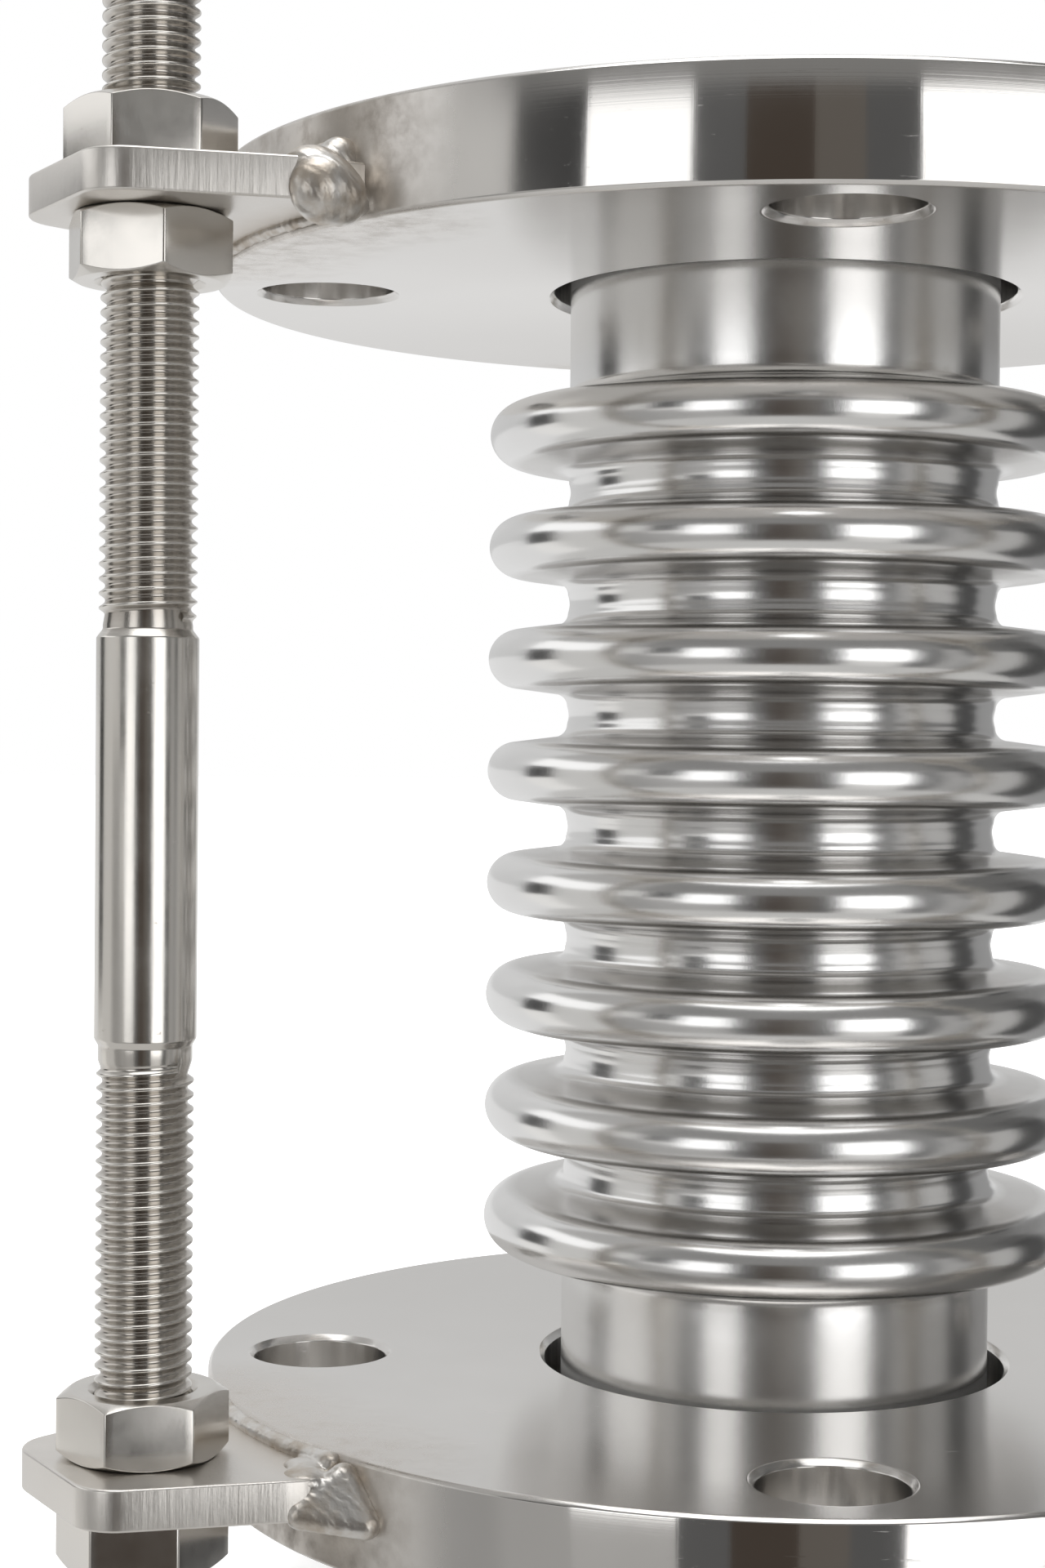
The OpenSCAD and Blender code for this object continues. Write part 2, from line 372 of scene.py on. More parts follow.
def weld_metal():
    """Weld beads: satin, rippled, with a straw and grey heat tint."""
    steel = Steel("weld_metal")
    tree = steel.tree
    tint = noise(tree, steel.coords, 260.0, 4.0, 0.6)
    steel.colour(mix_colour(
        tree, map_range(tree, tint, 0.4, 0.65, 0.0, 1.0),
        (0.74, 0.72, 0.69), (0.55, 0.49, 0.42),
    ))
    steel.roughness(map_range(tree, tint, 0.3, 0.7, 0.30, 0.44))
    waves = node(
        tree, "ShaderNodeTexWave", bands_direction="DIAGONAL",
        Scale=330.0, Distortion=5.0, Detail=2.0,
    )
    waves.inputs["Detail Scale"].default_value = 2.0
    tree.links.new(steel.coords, waves.inputs["Vector"])
    steel.relief(waves.outputs["Fac"], 0.03)
    steel.relief(noise(tree, steel.coords, 900.0, 3.0, 0.6), 0.035)
    steel.relief(noise(tree, steel.coords, 2600.0, 3.0), 0.006)
    return steel.done()


def blasted_plate():
    """Lugs: satin cut plate with fine cutting streaks across its edges."""
    steel = Steel("blasted_plate")
    tree = steel.tree
    streaks = noise(tree, stretched(tree, steel.coords, (1500, 1500, 90)), 1.0, 4.0, 0.65)
    grain = noise(tree, steel.coords, 1500.0, 3.0, 0.7)
    cloud = noise(tree, steel.coords, 110.0, 4.0, 0.6)
    base = mix_colour(tree, cloud, (0.70, 0.67, 0.63), (0.84, 0.815, 0.78))
    near = map_range(tree, lug_distance(tree, steel.coords), 0.001, 0.008, 1.0, 0.0)
    steel.colour(mix_colour(
        tree, math_node(tree, "MULTIPLY", near, 0.5), base, (0.55, 0.48, 0.40)
    ))
    steel.roughness(map_range(tree, cloud, 0.3, 0.7, 0.28, 0.40))
    steel.relief(streaks, 0.03)
    steel.relief(grain, 0.005)
    steel.relief(noise(tree, steel.coords, 420.0, 4.0, 0.6), 0.03)
    return steel.done()


def rod_steel():
    """Tie rods: rolled thread and a drawn shank with faint lengthwise lines."""
    steel = Steel("rod_steel")
    tree = steel.tree
    lines = noise(tree, stretched(tree, steel.coords, (1900, 1900, 26)), 1.0, 4.0, 0.6)
    cloud = noise(tree, steel.coords, 95.0, 4.0, 0.6)
    spots = noise(tree, steel.coords, 520.0, 5.0, 0.75)
    stain = map_range(tree, spots, 0.66, 0.76, 0.0, 1.0)
    base = mix_colour(tree, cloud, (0.68, 0.65, 0.605), (0.78, 0.76, 0.725))
    base = mix_colour(tree, math_node(tree, "MULTIPLY", stain, 0.6), base, (0.34, 0.26, 0.19))
    # Painted shade: the thread roots are painted darker than the crests.
    painted_groove_shade = map_range(tree, rod_distance(tree, steel.coords), 0.0051, 0.0057, 0.50, 0.0)
    steel.colour(mix_colour(tree, painted_groove_shade, base, (0.25, 0.21, 0.17)))
    rough = map_range(tree, cloud, 0.3, 0.7, 0.16, 0.26)
    steel.roughness(math_node(tree, "ADD", rough, math_node(tree, "MULTIPLY", stain, 0.2)))
    steel.relief(lines, 0.006)
    steel.relief(noise(tree, steel.coords, 1800.0, 3.0), 0.003)
    steel.relief(noise(tree, steel.coords, 5000.0, 2.0), 0.0015)
    return steel.done()


def nut_steel():
    """Nuts: fine satin faces with brighter, polished patches."""
    steel = Steel("nut_steel")
    tree = steel.tree
    cloud = noise(tree, steel.coords, 150.0, 5.0, 0.6)
    grain = noise(tree, steel.coords, 2200.0, 3.0, 0.7)
    pits = map_range(tree, noise(tree, steel.coords, 900.0, 4.0, 0.8), 0.68, 0.76, 0.0, 1.0)
    base = mix_colour(tree, cloud, (0.67, 0.64, 0.60), (0.77, 0.75, 0.715))
    steel.colour(mix_colour(
        tree, math_node(tree, "MULTIPLY", pits, 0.5), base, (0.38, 0.34, 0.30)
    ))
    steel.roughness(map_range(tree, cloud, 0.25, 0.75, 0.16, 0.28))
    steel.relief(grain, 0.003)
    steel.relief(pits, 0.004)
    return steel.done()


FINISHES = {
    make.__name__: make()
    for make in (
        turned_plate, turned_ring, formed_tube, weld_metal, blasted_plate, rod_steel, nut_steel,
    )
}


# ---------------------------------------------------------------- mesh tools
def around(r, angle):
    """A point at this radius and angle about the origin."""
    return r * math.cos(angle), r * math.sin(angle)


def add_piece(name, verts, faces, finish, body, replaced, sharp_deg=35, flat=()):
    """Makes a mesh object of points in millimetres and puts it on its body.
    Edges of the faces listed in flat stay sharp, so that long flat faces shade evenly."""
    mesh = bpy.data.meshes.new(name)
    mesh.from_pydata([(x * MM, y * MM, z * MM) for x, y, z in verts], [], faces)
    mesh.update()
    work = bmesh.new()
    work.from_mesh(mesh)
    work.faces.ensure_lookup_table()
    flat_faces = [work.faces[k] for k in flat]
    bmesh.ops.recalc_face_normals(work, faces=work.faces)
    work.to_mesh(mesh)
    mesh.shade_smooth()
    mesh.set_sharp_from_angle(angle=math.radians(sharp_deg))
    sharp = mesh.attributes.get("sharp_edge")
    if flat_faces and sharp:
        inner = set(flat)
        for face in flat_faces:
            for edge in face.edges:
                if sum(f.index in inner for f in edge.link_faces) == 1:
                    sharp.data[edge.index].value = True
    work.free()
    obj = bpy.data.objects.new(name, mesh)
    bpy.context.scene.collection.objects.link(obj)
    mesh.materials.append(FINISHES[finish])
    if body is not None:
        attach(obj, body)
    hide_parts(*replaced)
    return obj


def revolve(profile, segments, closed=True):
    """Points and faces of a profile of (radius, z) turned about the pipe axis."""
    count = len(profile)
    verts = []
    for j in range(segments):
        angle = 2 * math.pi * j / segments
        c, s = math.cos(angle), math.sin(angle)
        verts += [(r * c, r * s, z) for r, z in profile]
    faces = []
    for j in range(segments):
        a, b = j * count, (j + 1) % segments * count
        for k in range(count if closed else count - 1):
            n = (k + 1) % count
            faces.append((a + k, b + k, b + n, a + n))
    return verts, faces


def arc(cx, cy, r, start, end, steps):
    """Points of an arc from start to end, in degrees."""
    points = []
    for k in range(steps + 1):
        x, y = around(r, math.radians(start + (end - start) * k / steps))
        points.append((cx + x, cy + y))
    return points


def between(a, b, steps):
    """The points that divide the line from a to b into steps, without a and b."""
    return [
        (a[0] + (b[0] - a[0]) * t / steps, a[1] + (b[1] - a[1]) * t / steps)
        for t in range(1, steps)
    ]


def rounded(profile, radius, steps=3):
    """An open profile with its inner corners replaced by small arcs."""
    out = [profile[0]]
    for before, here, after in zip(profile, profile[1:], profile[2:]):
        p, a, b = Vector(here), Vector(before), Vector(after)
        da, db = (a - p), (b - p)
        cut = min(radius, da.length * 0.45, db.length * 0.45)
        first, last = p + da.normalized() * cut, p + db.normalized() * cut
        for k in range(steps + 1):
            t = k / steps
            q = first * (1 - t) ** 2 + p * (2 * t * (1 - t)) + last * t**2
            out.append((q.x, q.y))
    out.append(profile[-1])
    return out


def offset_loop(loop, distance):
    """The loop moved inwards by distance; the loop runs anticlockwise."""
    count = len(loop)
    moved = []
    for k in range(count):
        a, p, b = (Vector(loop[(k + d) % count]) for d in (-1, 0, 1))
        e1, e2 = (p - a).normalized(), (b - p).normalized()
        n1, n2 = Vector((-e1.y, e1.x)), Vector((-e2.y, e2.x))
        n = (n1 + n2).normalized()
        moved.append(tuple(p + n * (distance / max(0.5, n.dot(n1)))))
    return moved


def circle(cx, cy, r, count):
    return [
        (cx + x, cy + y)
        for x, y in (around(r, 2 * math.pi * k / count) for k in range(count))
    ]


def inside(point, loop):
    """Is the point inside the loop?"""
    x, y = point
    hit = False
    for (x0, y0), (x1, y1) in zip(loop, loop[1:] + loop[:1]):
        if (y0 > y) != (y1 > y) and x < (x1 - x0) * (y - y0) / (y1 - y0) + x0:
            hit = not hit
    return hit


def plate(outer, outer_profile, holes):
    """A plate with holes. outer is its outline and holes is a list of (cx, cy, r, profile).
    Each profile lists (distance into the metal, z) from the top face to the bottom face.
    Returns points, faces and the numbers of the flat faces."""
    verts, faces, flat = [], [], []
    stacks = [[(offset_loop(outer, depth), z) for depth, z in outer_profile]]
    for cx, cy, r, profile in holes:
        count = 96 if r < 20 else 192
        stacks.append([(circle(cx, cy, r + depth, count), z) for depth, z in profile])
    walls = []
    for stack in stacks:
        rows = []
        for loop, z in stack:
            rows.append((len(verts), loop))
            verts += [(x, y, z) for x, y in loop]
        for (a, loop), (b, _) in zip(rows, rows[1:]):
            n = len(loop)
            faces += [(a + k, a + (k + 1) % n, b + (k + 1) % n, b + k) for k in range(n)]
        walls.append(rows)
    for end in (0, -1):
        points, edges, index = [], [], []
        for rows in walls:
            start, loop = rows[end]
            n, base = len(loop), len(points)
            points += [Vector(p) for p in loop]
            index += range(start, start + n)
            edges += [(base + k, base + (k + 1) % n) for k in range(n)]
        made = delaunay_2d_cdt(points, edges, [], 0, 1e-7)
        loops = [rows[end][1] for rows in walls]
        for tri in made[2]:
            centre = sum((made[0][k] for k in tri), Vector((0, 0))) / 3
            if inside(centre, loops[0]) and not any(inside(centre, h) for h in loops[1:]):
                flat.append(len(faces))
                faces.append(tuple(index[made[3][k][0]] for k in tri))
    return verts, faces, flat


def turned_about_axis(verts, angle, shift=(0, 0, 0)):
    """The points turned about the z axis by angle, then shifted."""
    c, s = math.cos(angle), math.sin(angle)
    dx, dy, dz = shift
    return [(x * c - y * s + dx, x * s + y * c + dy, z + dz) for x, y, z in verts]


def levels(node_name):
    """Lowest and highest z of a CAD node in millimetres."""
    low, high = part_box(node_name)
    return low.z / MM, high.z / MM


# ---------------------------------------------------------------- flanges
def build_flange(side):
    """Flange plate with rounded edge breaks, deeper at the inner face."""
    name = f"{side}_flange"
    low, high = levels(name)
    rim = rounded(
        [(0.9, high), (0.5, high), (0.0, high - 0.5), (0.0, low + 0.5), (0.5, low), (0.9, low)],
        0.16,
    )
    inner_break, outer_break = 0.8, 0.4
    top, bottom = inner_break, outer_break
    if side == "upper":
        top, bottom = bottom, top
    hole = rounded(
        [
            (top + 0.3, high), (top, high), (0.0, high - top),
            (0.0, low + bottom), (bottom, low), (bottom + 0.3, low),
        ],
        0.12,
    )
    bolts = [
        (*around(BOLT_CIRCLE_R, k * math.pi / 2), BOLT_R, hole)
        for k in range(4)
    ]
    verts, faces, flat = plate(
        circle(0, 0, FLANGE_R, 360), rim, [(0, 0, BORE_R, hole)] + bolts
    )
    add_piece(f"{name}_plate", verts, faces, "turned_plate", side, [name], 50, flat)


# ---------------------------------------------------------------- sealing rings
def build_lap_ring(side):
    """Sealing ring with fine grooves in its sealing face."""
    name = f"{side}_lap_ring"
    low, high = levels(name)
    face, back = (low, high) if side == "lower" else (high, low)
    way = 1 if side == "lower" else -1
    inner_r, outer_r = 28.0, 49.0
    inner_break, outer_break = 0.35, 0.4
    groove_pitch, groove_depth = 0.8, 0.07
    r = 31.0
    profile = [
        (inner_r, face + way * inner_break), (inner_r + inner_break, face), (r, face),
    ]
    while r < outer_r - 3:
        profile += [
            (r + groove_pitch * 0.3, face + way * groove_depth),
            (r + groove_pitch * 0.7, face + way * groove_depth),
            (r + groove_pitch, face),
        ]
        r += groove_pitch
    profile += [
        (outer_r - outer_break, face), (outer_r, face + way * outer_break),
        (outer_r, back), (inner_r, back),
    ]
    verts, faces = revolve(profile, 256)
    add_piece(f"{name}_turned", verts, faces, "turned_ring", side, [name], 25)


# ---------------------------------------------------------------- bellows
NECK_R = 29.25
WALL_T = 0.6
CROWN_C = 36.1
CROWN_R = 4.0
ROOT_HOLLOW = 0.22
ROOT_FILLET = 1.7
WALL_FLARE = 7.3
CONVOLUTIONS = 8
LOBE_PITCH = 15.3
NECK_STEPS = 24


def tube_profile(low, high, thin):
    """Outline of the formed tube from low to high, thinned by thin."""
    neck = NECK_R - thin
    crown = CROWN_R - thin
    fillet = ROOT_FILLET + thin
    flare = math.radians(WALL_FLARE)
    s, c = math.sin(flare), math.cos(flare)

    # The lower half of one convolution, about its own middle
    tx, tz = CROWN_C + crown * s, -crown * c
    fz = tz + ((neck + fillet - tx) * s - fillet) / c
    lower = arc(neck + fillet, fz, fillet, 180, 90 + WALL_FLARE, 8)
    half = lower + between(lower[-1], (tx, tz), 5)
    bulb = arc(CROWN_C, 0, crown, WALL_FLARE - 90, 90 - WALL_FLARE, 28)

    points = [(neck, low)]
    for k in range(CONVOLUTIONS):
        z = (low + high) / 2 + (k - (CONVOLUTIONS - 1) / 2) * LOBE_PITCH
        start, end = points[-1][1], z + fz
        steps, hollow = (10, ROOT_HOLLOW) if k else (NECK_STEPS, 0)
        points += [
            (
                neck - hollow * math.sin(math.pi * t / steps),
                start + (end - start) * t / steps,
            )
            for t in range(1, steps)
        ]
        points += [(r, z + dz) for r, dz in half + bulb]
        points += [(r, z - dz) for r, dz in reversed(half)]
    start = points[-1][1]
    points += [
        (neck, start + (high - start) * t / NECK_STEPS) for t in range(1, NECK_STEPS + 1)
    ]
    return points


def build_bellows():
    """The formed tube, its folds spaced evenly about the middle between the two flanges."""
    low, high = levels("bellows")
    outer = tube_profile(low, high, 0)
    inner = tube_profile(low, high, WALL_T)
    verts, faces = revolve(outer + inner[::-1], 288)
    obj = add_piece("bellows_tube", verts, faces, "formed_tube", None, ["bellows"], 50)
    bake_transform(obj)


def build_cuff_weld(side):
    """Rippled bead where the neck meets its sealing ring."""
    name = f"{side}_cuff_weld"
    low, high = levels(name)
    foot, way = (low, 1) if side == "lower" else (high, -1)
    segments, steps, ripples = 360, 8, 54
    verts, faces = [], []
    for j in range(segments):
        angle = 2 * math.pi * j / segments
        size = (high - low) * (0.93 + 0.07 * abs(math.sin(angle * ripples)) ** 0.7)
        for k in range(steps + 1):
            t = math.radians(90 * k / steps)
            bulge = 0.62 + 0.22 * math.sin(2 * t) if 0 < k < steps else 1
            r = NECK_R + size * math.cos(t) * bulge
            verts.append((*around(r, angle), foot + way * size * math.sin(t) * bulge))
        verts.append((*around(NECK_R - 0.1, angle), foot))
    count = steps + 2
    for j in range(segments):
        a, b = j * count, (j + 1) % segments * count
        for k in range(count):
            n = (k + 1) % count
            faces.append((a + k, b + k, b + n, a + n))
    add_piece(f"{name}_bead", verts, faces, "weld_metal", side, [name], 50)


# ---------------------------------------------------------------- lugs
LUG_END_X = ROD_CIRCLE + 12
LUG_HALF = 12.0
LUG_FOOT_HALF = 19.5
LUG_FLARE = 17.5
LUG_CORNER = 6.0
LUG_T = 5.0


def lug_outline():
    """Plan of one lug pointing along +X, anticlockwise, and half the angle of its foot."""
    r, flare = LUG_CORNER, math.radians(LUG_FLARE)
    cy = LUG_HALF - r * (1 - math.sin(flare)) / math.cos(flare)
    root = FLANGE_R + 0.01
    foot = math.asin(LUG_FOOT_HALF / root)
    bend_x = LUG_END_X - (LUG_FOOT_HALF - LUG_HALF) / math.tan(flare)
    lower_bend, upper_bend = (bend_x, -LUG_FOOT_HALF), (bend_x, LUG_FOOT_HALF)
    foot_x = root * math.cos(foot)
    end = arc(LUG_END_X - r, -cy, r, LUG_FLARE - 90, 0, 10)
    end += arc(LUG_END_X - r, cy, r, 0, 90 - LUG_FLARE, 10)
    outline = end + between(end[-1], upper_bend, 8) + [upper_bend]
    outline += between(upper_bend, (foot_x, LUG_FOOT_HALF), 4)
    outline += arc(0, 0, root, math.degrees(foot), -math.degrees(foot), 40)
    outline += between((foot_x, -LUG_FOOT_HALF), lower_bend, 4) + [lower_bend]
    outline += between(lower_bend, end[0], 8)
    return outline, foot


def build_lugs():
    """Six lug plates with a hole for the rod, and their welds."""
    outline, foot = lug_outline()
    for side in ("lower", "upper"):
        for k, angle in enumerate(ROD_ANGLES, 1):
            name = f"{side}_lug_{k}"
            low, high = levels(name)
            edge = rounded(
                [(0.5, high), (0.22, high), (0.0, high - 0.22),
                 (0.0, low + 0.22), (0.22, low), (0.5, low)],
                0.2,
            )
            hole = rounded(
                [(0.6, high), (0.3, high), (0.0, high - 0.3),
                 (0.0, low + 0.3), (0.3, low), (0.6, low)],
                0.15,
            )
            verts, faces, flat = plate(outline, edge, [(ROD_CIRCLE, 0, 6.5, hole)])
            verts = turned_about_axis(verts, angle)
            add_piece(f"{name}_plate", verts, faces, "blasted_plate", side, [name], 50, flat)
            build_lug_weld(side, k, angle, low, foot)


def build_lug_weld(side, k, angle, low, foot):
    """Puddles of weld metal round the foot of one lug, merged into one bead. Upper lugs
    end in a round lump on each side, lower ones in a three-cornered fillet."""
    name = f"{side}_lug_weld_{k}"
    rng = random.Random(f"{side} weld {k}")
    top = low + LUG_T
    puddles = []

    def along_rim(turn, out, z, size, squeeze=1.0):
        """A puddle on the rim: turn in degrees from the middle of the lug."""
        a = math.radians(turn)
        puddles.append((
            Vector((*around(FLANGE_R + out, a), z)),
            Vector((size, size * squeeze, size * rng.uniform(0.92, 1.08))), a,
        ))

    def on_side(way, x, past, z, size_x, size_y, size_z, lean=0.0):
        """A puddle against the side of the lug, past its edge by this much."""
        puddles.append((
            Vector((x, way * (LUG_FOOT_HALF + past), z)),
            Vector((size_x, size_y, size_z)), way * math.radians(lean),
        ))

    def web(way, wobble):
        """A smooth three-cornered fillet between the side of the lug and the rim."""
        crest = Vector((76.4, -0.2, low + 4.4))
        on_lug = Vector((81.6 + wobble, -0.8, low + 0.8))
        on_rim = Vector((75.0, 3.0, low - 0.4))
        steps = 6
        for i in range(steps + 1):
            for j in range(steps + 1 - i):
                u, v = i / steps, j / steps
                spot = crest * u + on_lug * v + on_rim * (1 - u - v)
                on_side(way, *spot, 1.9, 1.7, 1.9)

    reach = math.degrees(foot)
    bead, lump = (2.3, 1.0) if side == "upper" else (1.2, 0.80)
    flat_bead = bead / 2.3
    count = 60
    for n in range(count + 1):
        share = 2 * n / count - 1
        swell = (1 + 0.25 * abs(share) ** 3) * rng.uniform(0.97, 1.03)
        along_rim((reach - 2.6) * share, 0.25 * bead, top + 0.2 * bead, bead * swell, 0.7)
        along_rim(reach * share, 0.1, low - 0.05, 0.95 * rng.uniform(0.95, 1.05), 0.9)
    for way in (-1, 1):
        wobble = [rng.uniform(-0.2, 0.2) for _ in range(6)]
        if side == "upper":
            on_side(way, 79.9 + wobble[0], -0.4, low + 1.5 + wobble[1], 4.7, 3.6, 4.2, 12)
            on_side(way, 78.2, -0.2, low + 0.6 + wobble[2], 3.4, 3.0, 3.6, 10)
        else:
            web(way, wobble[0])
        size_x, size_y = 3.6 * lump, 3.6 * lump
        on_side(way, 80.4 + wobble[3], -2.6, low + 4.4, size_x, size_y, 2.4 * flat_bead, 20)
        on_side(way, 79.0, -5.4, low + 4.7, 3.0 * lump, size_y, 2.2 * flat_bead, 10)
    mesh = bpy.data.meshes.new(name)
    work = bmesh.new()
    turn = Matrix.Rotation(angle, 4, "Z")
    for centre, size, lean in puddles:
        place = (
            turn @ Matrix.Translation(centre) @ Matrix.Rotation(lean, 4, "Z")
            @ Matrix.Diagonal((*size, 1))
        )
        bmesh.ops.create_icosphere(work, subdivisions=3, radius=1.0, matrix=place)
    work.to_mesh(mesh)
    work.free()
    obj = bpy.data.objects.new(name + "_bead", mesh)
    bpy.context.scene.collection.objects.link(obj)
    remesh = obj.modifiers.new("merge", "REMESH")
    remesh.mode = "VOXEL"
    remesh.voxel_size = 0.25
    smooth = obj.modifiers.new("smooth", "SMOOTH")
    smooth.factor = 0.5
    smooth.iterations = 16
    graph = bpy.context.evaluated_depsgraph_get()
    solid = bpy.data.meshes.new_from_object(obj.evaluated_get(graph))
    obj.modifiers.clear()
    obj.data = solid
    solid.transform(Matrix.Scale(MM, 4))
    solid.shade_smooth()
    solid.materials.clear()
    solid.materials.append(FINISHES["weld_metal"])
    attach(obj, side)
    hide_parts(name)


# ---------------------------------------------------------------- tie rods
THREAD_R = 5.84
THREAD_ROOT = 5.1
THREAD_PITCH = 1.75
ROD_SEGMENTS = 72
SHANK_R = 6.1
SHANK_HALF = 24


def thread_form():
    """One pitch of thread from root to root as (share of the pitch, height 0 to 1)."""
    return [
        (0.00, 0.00), (0.07, 0.02), (0.14, 0.10), (0.22, 0.27), (0.30, 0.52),
        (0.38, 0.80), (0.43, 0.96), (0.50, 1.00), (0.57, 0.96), (0.62, 0.80),
        (0.70, 0.52), (0.78, 0.27), (0.86, 0.10), (0.93, 0.02),
    ]


def ring(verts, r, z):
    """Adds a flat ring of points and returns the number of its first point."""
    start = len(verts)
    for j in range(ROD_SEGMENTS):
        verts.append((*around(r, 2 * math.pi * j / ROD_SEGMENTS), z))
    return start


def thread_section(verts, faces, start_ring, z0, z1, blank_at_start, blank_r):
    """Adds a right-hand helical thread between two flat rings and returns the last ring.
    The thread fades into a plain blank at the end that meets the shank, and is
    chamfered at the free end."""
    form = thread_form()
    per_turn = len(form)
    turns = int((z1 - z0) / THREAD_PITCH) - 1
    rows = turns * per_turn
    spare = z1 - z0 - THREAD_PITCH * (turns + 1)
    offset = 0.04 if blank_at_start else spare - 0.04
    base = len(verts)

    def radius(z, share):
        full = THREAD_ROOT + (THREAD_R - THREAD_ROOT) * share
        from_blank, from_free = (z - z0, z1 - z) if blank_at_start else (z1 - z, z - z0)
        fade = min(1.0, max(0.0, from_blank / (THREAD_PITCH * 0.8)))
        full = blank_r + (full - blank_r) * fade
        return min(full, THREAD_ROOT + max(0.0, from_free))

    for row in range(rows + 1):
        share_z, share_r = form[row % per_turn]
        for j in range(ROD_SEGMENTS):
            z = z0 + offset + THREAD_PITCH * (row // per_turn + share_z + j / ROD_SEGMENTS)
            angle = 2 * math.pi * j / ROD_SEGMENTS
            verts.append((*around(radius(z, share_r), angle), z))

    def at(row, j):
        return base + row * ROD_SEGMENTS + j

    last = ROD_SEGMENTS - 1
    for row in range(rows):
        for j in range(last):
            faces.append((at(row, j), at(row, j + 1), at(row + 1, j + 1), at(row + 1, j)))
        if row + per_turn < rows:
            faces.append((
                at(row, last), at(row + per_turn, 0),
                at(row + per_turn + 1, 0), at(row + 1, last),
            ))
    end_ring = ring(verts, THREAD_ROOT if blank_at_start else blank_r, z1)
    for j in range(last):
        faces.append((start_ring + j, start_ring + j + 1, at(0, j + 1), at(0, j)))
        faces.append((at(rows, j), at(rows, j + 1), end_ring + j + 1, end_ring + j))
    faces.append((start_ring + last, start_ring, at(per_turn, 0), at(0, last)))
    faces.append((at(rows - per_turn, last), at(rows, 0), end_ring, end_ring + last))
    faces.append(tuple([start_ring] + [at(row, 0) for row in range(per_turn + 1)]))
    faces.append(tuple(
        [at(row, last) for row in range(rows - per_turn, rows + 1)] + [end_ring + last]
    ))
    return end_ring


def build_rod(k, angle):
    """Tie rod: thread, plain shank in the middle, thread."""
    name = f"tie_rod_{k}"
    low, high = levels(name)
    middle = (low + high) / 2
    shank_low, shank_high = middle - SHANK_HALF, middle + SHANK_HALF
    lower_blank, upper_blank = 5.62, 5.34
    lower_end, upper_end = shank_low - 2.6, shank_high + 1.3
    verts, faces = [], []
    first = ring(verts, THREAD_ROOT, low)
    faces.append(tuple(reversed(range(first, first + ROD_SEGMENTS))))
    last = thread_section(verts, faces, first, low, lower_end, False, lower_blank)
    plain = rounded(
        [
            (lower_blank, lower_end), (lower_blank, shank_low - 0.8),
            (SHANK_R, shank_low), (SHANK_R, shank_high - 0.2),
            (upper_blank, shank_high + 0.8), (upper_blank, upper_end),
        ],
        0.14,
    )
    for r, z in plain[1:]:
        here = ring(verts, r, z)
        for j in range(ROD_SEGMENTS):
            n = (j + 1) % ROD_SEGMENTS
            faces.append((last + j, last + n, here + n, here + j))
        last = here
    last = thread_section(verts, faces, last, upper_end, high, True, upper_blank)
    faces.append(tuple(range(last, last + ROD_SEGMENTS)))
    verts = turned_about_axis(verts, angle + k, (*around(ROD_CIRCLE, angle), 0))
    add_piece(f"{name}_threaded", verts, faces, "rod_steel", "lower", [name], 42)


# ---------------------------------------------------------------- nuts
NUT_FLAT = 9.0
NUT_BORE = 5.92
NUT_CORNER = 0.45
NUT_MOUTH = 0.75


def hex_outline():
    """Hexagon with slightly rounded corners as (angle, distance) pairs."""
    reach = (NUT_FLAT - NUT_CORNER) / math.cos(math.radians(30))
    corners = []
    for k in range(6):
        middle = 60 * k
        centre = around(reach, math.radians(middle))
        corners.append(arc(*centre, NUT_CORNER, middle - 30, middle + 30, 6))
    points = []
    for here, following in zip(corners, corners[1:] + corners[:1]):
        points += here + between(here[-1], following[0], 12)
    return [(math.atan2(y, x), math.hypot(x, y)) for x, y in points]


def build_nut(name, body, angle, turn):
    """Hexagon nut, chamfered at both faces and at the mouths of its bore."""
    low, high = levels(name)
    half_height = (high - low) / 2
    face_r = NUT_FLAT - 0.25
    slope = math.tan(math.radians(30))
    outline = hex_outline()
    verts, faces = [], []
    for a, reach in outline:
        drop = (reach - face_r) * slope
        half = rounded(
            [
                (NUT_BORE, 0.0), (NUT_BORE, half_height - NUT_MOUTH),
                (NUT_BORE + NUT_MOUTH, half_height), (face_r, half_height),
                (reach, half_height - drop), (reach, 0.0),
            ],
            0.10,
        )
        section = half[::-1][:-1] + [(r, -z) for r, z in half][:-1]
        verts += [(*around(r, a), half_height + z) for r, z in section]
    count = len(section)
    for j in range(len(outline)):
        p, q = j * count, (j + 1) % len(outline) * count
        for k in range(count):
            n = (k + 1) % count
            faces.append((p + k, q + k, q + n, p + n))
    shift = (*around(ROD_CIRCLE, angle), low)
    verts = turned_about_axis(verts, angle + math.radians(turn), shift)
    add_piece(f"{name}_hex", verts, faces, "nut_steel", body, [name], 28)


def build_nuts():
    """Twelve nuts, each turned a little differently."""
    turns = {
        "lower_outer": 31, "lower_inner": 42, "upper_inner": 16, "upper_outer": 41,
    }
    for place, turn in turns.items():
        for k, angle in enumerate(ROD_ANGLES, 1):
            name = f"{place}_nut_{k}"
            body = "lower" if place.startswith("lower") else name
            build_nut(name, body, angle, turn + 40 * (k - 2))


for side in ("lower", "upper"):
    build_flange(side)
    build_lap_ring(side)
    build_cuff_weld(side)
build_bellows()
build_lugs()
for number, rod_angle in enumerate(ROD_ANGLES, 1):
    build_rod(number, rod_angle)
build_nuts()


# ---------------------------------------------------------------- studio
def emission(name, colour, strength):
    material = bpy.data.materials.new(name)
    material.use_nodes = True
    tree = material.node_tree
    tree.nodes.clear()
    out = tree.nodes.new("ShaderNodeOutputMaterial")
    glow = tree.nodes.new("ShaderNodeEmission")
    glow.inputs["Color"].default_value = (*colour, 1)
    glow.inputs["Strength"].default_value = strength
    tree.links.new(glow.outputs[0], out.inputs["Surface"])
    return material


